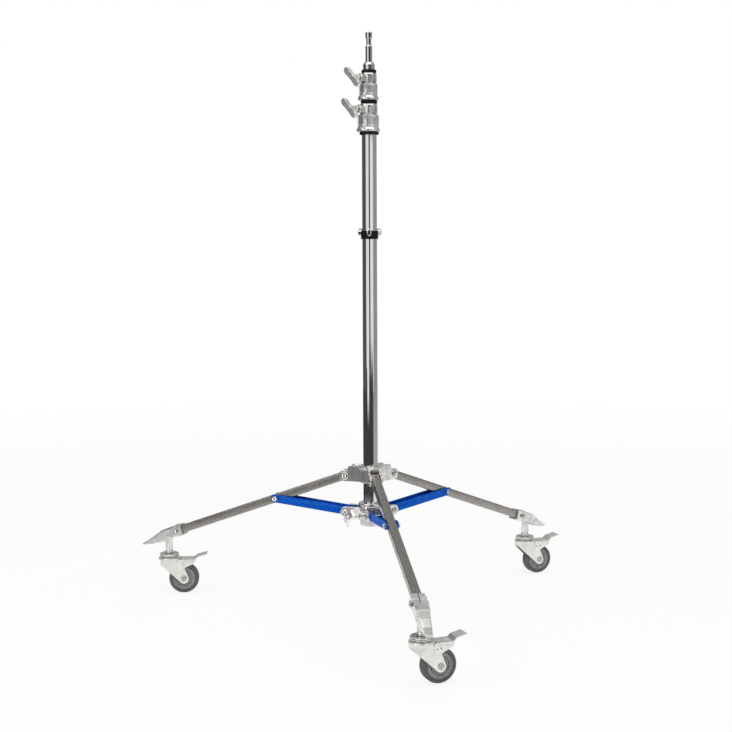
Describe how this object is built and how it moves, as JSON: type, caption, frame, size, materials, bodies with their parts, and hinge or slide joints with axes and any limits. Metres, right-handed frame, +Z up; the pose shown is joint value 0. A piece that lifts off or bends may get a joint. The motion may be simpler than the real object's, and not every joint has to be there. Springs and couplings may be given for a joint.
{
  "type": "roller stand",
  "caption": "Three-section sliding mast on folding braced legs with swivelling braked casters and a spigot on top, for lights.",
  "frame": {"origin": "middle of the footprint's box, on the floor", "axes": "+Z up along the mast; -Y along the front leg"},
  "size_m": [1.1108, 0.9352, 1.3847],
  "materials": {
    "chrome_tube": "chrome plate on drawn steel tube, fine lengthwise rub marks",
    "turned_chrome": "chrome plate on turned steel",
    "fasteners": "zinc plated bolts and pins",
    "leg_tube": "satin plated square steel tube",
    "zinc_plate": "bright zinc plate on pressed steel",
    "blue_paint": "blue paint on pressed steel channel",
    "tyre_rubber": "dark grey solid rubber",
    "wheel_nylon": "lilac grey moulded nylon",
    "handle_casting": "polished cast handle",
    "black_plastic": "black moulded plastic",
    "casting": "bright plated casting with soft edges"
  },
  "bodies": {
    "column": {"column": "chrome_tube", "hub_casting": "casting", "leg_pivot_bolt_front": "fasteners", "leg_pivot_bolt_right": "fasteners", "leg_pivot_bolt_left": "fasteners", "lower_clamp": "casting", "lower_clamp_bush": "black_plastic", "lower_riser_bush": "black_plastic", "catch_ring": "black_plastic", "catch_post_front": "turned_chrome", "catch_post_right": "turned_chrome", "catch_post_left": "turned_chrome"},
    "lock_collar": {"lock_collar": "casting", "collar_pin_front": "fasteners", "collar_pin_right": "fasteners", "collar_pin_left": "fasteners"},
    "leg_front": {"leg_front": "leg_tube", "foot_front": "casting", "foot_bolt_front": "fasteners", "brace_bolt_front": "fasteners", "caster_stem_front": "zinc_plate"},
    "brace_front": {"brace_front": "blue_paint"},
    "caster_front": {"fork_front": "zinc_plate", "axle_bolt_front": "fasteners"},
    "wheel_front": {"tyre_front": "tyre_rubber", "wheel_core_front": "wheel_nylon"},
    "pedal_front": {"brake_pedal_front": "zinc_plate"},
    "leg_right": {"leg_right": "leg_tube", "foot_right": "casting", "foot_bolt_right": "fasteners", "brace_bolt_right": "fasteners", "caster_stem_right": "zinc_plate"},
    "brace_right": {"brace_right": "blue_paint"},
    "caster_right": {"fork_right": "zinc_plate", "axle_bolt_right": "fasteners"},
    "wheel_right": {"tyre_right": "tyre_rubber", "wheel_core_right": "wheel_nylon"},
    "pedal_right": {"brake_pedal_right": "zinc_plate"},
    "leg_left": {"leg_left": "leg_tube", "foot_left": "casting", "foot_bolt_left": "fasteners", "brace_bolt_left": "fasteners", "caster_stem_left": "zinc_plate"},
    "brace_left": {"brace_left": "blue_paint"},
    "caster_left": {"fork_left": "zinc_plate", "axle_bolt_left": "fasteners"},
    "wheel_left": {"tyre_left": "tyre_rubber", "wheel_core_left": "wheel_nylon"},
    "pedal_left": {"brake_pedal_left": "zinc_plate"},
    "riser_1": {"riser_1": "chrome_tube", "upper_clamp": "casting", "upper_riser_bush": "black_plastic", "riser_1_glide": "black_plastic"},
    "riser_2": {"riser_2": "chrome_tube", "spigot": "turned_chrome", "riser_2_glide": "black_plastic"},
    "lower_handle": {"lower_handle": "handle_casting"},
    "upper_handle": {"upper_handle": "handle_casting"},
    "collar_handle": {"collar_handle": "handle_casting"}
  },
  "joints": [
    {"name": "collar_slide", "type": "slide", "parent": "column", "child": "lock_collar", "axis": [0, 0, 1], "range_m": [0, 0.036]},
    {"name": "leg_fold_front", "type": "hinge", "parent": "column", "child": "leg_front", "pos_m": [-0.01545, 0.08955, 0.33337], "axis": [-1, 0, 0], "range_deg": [0, 112.4]},
    {"name": "brace_turn_front", "type": "hinge", "parent": "leg_front", "child": "brace_front", "pos_m": [-0.01545, -0.09373, 0.26536], "axis": [-1, 0, 0], "range_deg": [-11.02, 0]},
    {"name": "caster_swivel_front", "type": "hinge", "parent": "leg_front", "child": "caster_front", "pos_m": [-0.01545, -0.39515, 0.0855], "axis": [0, 0, 1], "continuous": true},
    {"name": "wheel_spin_front", "type": "hinge", "parent": "caster_front", "child": "wheel_front", "pos_m": [0.0205, -0.38881, 0.038], "axis": [-0.1736, 0.9848, 0], "continuous": true},
    {"name": "pedal_tip_front", "type": "hinge", "parent": "caster_front", "child": "pedal_front", "pos_m": [0.01114, -0.39046, 0.069], "axis": [-0.1736, 0.9848, 0], "range_deg": [0, 10]},
    {"name": "leg_fold_right", "type": "hinge", "parent": "column", "child": "leg_right", "pos_m": [0.03824, 0.18255, 0.33337], "axis": [0.5, -0.866, 0], "range_deg": [0, 112.4]},
    {"name": "brace_turn_right", "type": "hinge", "parent": "leg_right", "child": "brace_right", "pos_m": [0.19697, 0.2742, 0.26536], "axis": [0.5, -0.866, 0], "range_deg": [-11.02, 0]},
    {"name": "caster_swivel_right", "type": "hinge", "parent": "leg_right", "child": "caster_right", "pos_m": [0.45801, 0.4249, 0.0855], "axis": [0, 0, 1], "continuous": true},
    {"name": "wheel_spin_right", "type": "hinge", "parent": "caster_right", "child": "wheel_right", "pos_m": [0.49371, 0.43249, 0.038], "axis": [-0.2079, 0.9781, 0], "continuous": true},
    {"name": "pedal_tip_right", "type": "hinge", "parent": "caster_right", "child": "pedal_right", "pos_m": [0.48442, 0.43052, 0.069], "axis": [-0.2079, 0.9781, 0], "range_deg": [0, 10]},
    {"name": "leg_fold_left", "type": "hinge", "parent": "column", "child": "leg_left", "pos_m": [-0.06914, 0.18255, 0.33337], "axis": [0.5, 0.866, 0], "range_deg": [0, 112.4]},
    {"name": "brace_turn_left", "type": "hinge", "parent": "leg_left", "child": "brace_left", "pos_m": [-0.22787, 0.2742, 0.26536], "axis": [0.5, 0.866, 0], "range_deg": [-11.02, 0]},
    {"name": "caster_swivel_left", "type": "hinge", "parent": "leg_left", "child": "caster_left", "pos_m": [-0.48891, 0.4249, 0.0855], "axis": [0, 0, 1], "continuous": true},
    {"name": "wheel_spin_left", "type": "hinge", "parent": "caster_left", "child": "wheel_left", "pos_m": [-0.45261, 0.42109, 0.038], "axis": [0.1045, 0.9945, 0], "continuous": true},
    {"name": "pedal_tip_left", "type": "hinge", "parent": "caster_left", "child": "pedal_left", "pos_m": [-0.46205, 0.42208, 0.069], "axis": [0.1045, 0.9945, 0], "range_deg": [0, 10]},
    {"name": "riser_1_slide", "type": "slide", "parent": "column", "child": "riser_1", "axis": [0, 0, 1], "range_m": [0, 0.77]},
    {"name": "riser_2_slide", "type": "slide", "parent": "riser_1", "child": "riser_2", "axis": [0, 0, 1], "range_m": [0, 0.77]},
    {"name": "lower_handle_turn", "type": "hinge", "parent": "column", "child": "lower_handle", "pos_m": [-0.05875, 0.12655, 1.20672], "axis": [-0.866, -0.5, 0], "range_deg": [0, 180]},
    {"name": "upper_handle_turn", "type": "hinge", "parent": "riser_1", "child": "upper_handle", "pos_m": [-0.05875, 0.12655, 1.27862], "axis": [-0.866, -0.5, 0], "range_deg": [0, 180]},
    {"name": "collar_handle_turn", "type": "hinge", "parent": "lock_collar", "child": "collar_handle", "pos_m": [-0.05875, 0.12655, 0.24097], "axis": [-0.866, -0.5, 0], "range_deg": [0, 180]}
  ],
  "couplings": [
    {"joint": "brace_turn_front", "follows": "collar_slide", "rad_per_m": -5.2949},
    {"joint": "brace_turn_right", "follows": "collar_slide", "rad_per_m": -5.2949},
    {"joint": "brace_turn_left", "follows": "collar_slide", "rad_per_m": -5.2949}
  ]
}
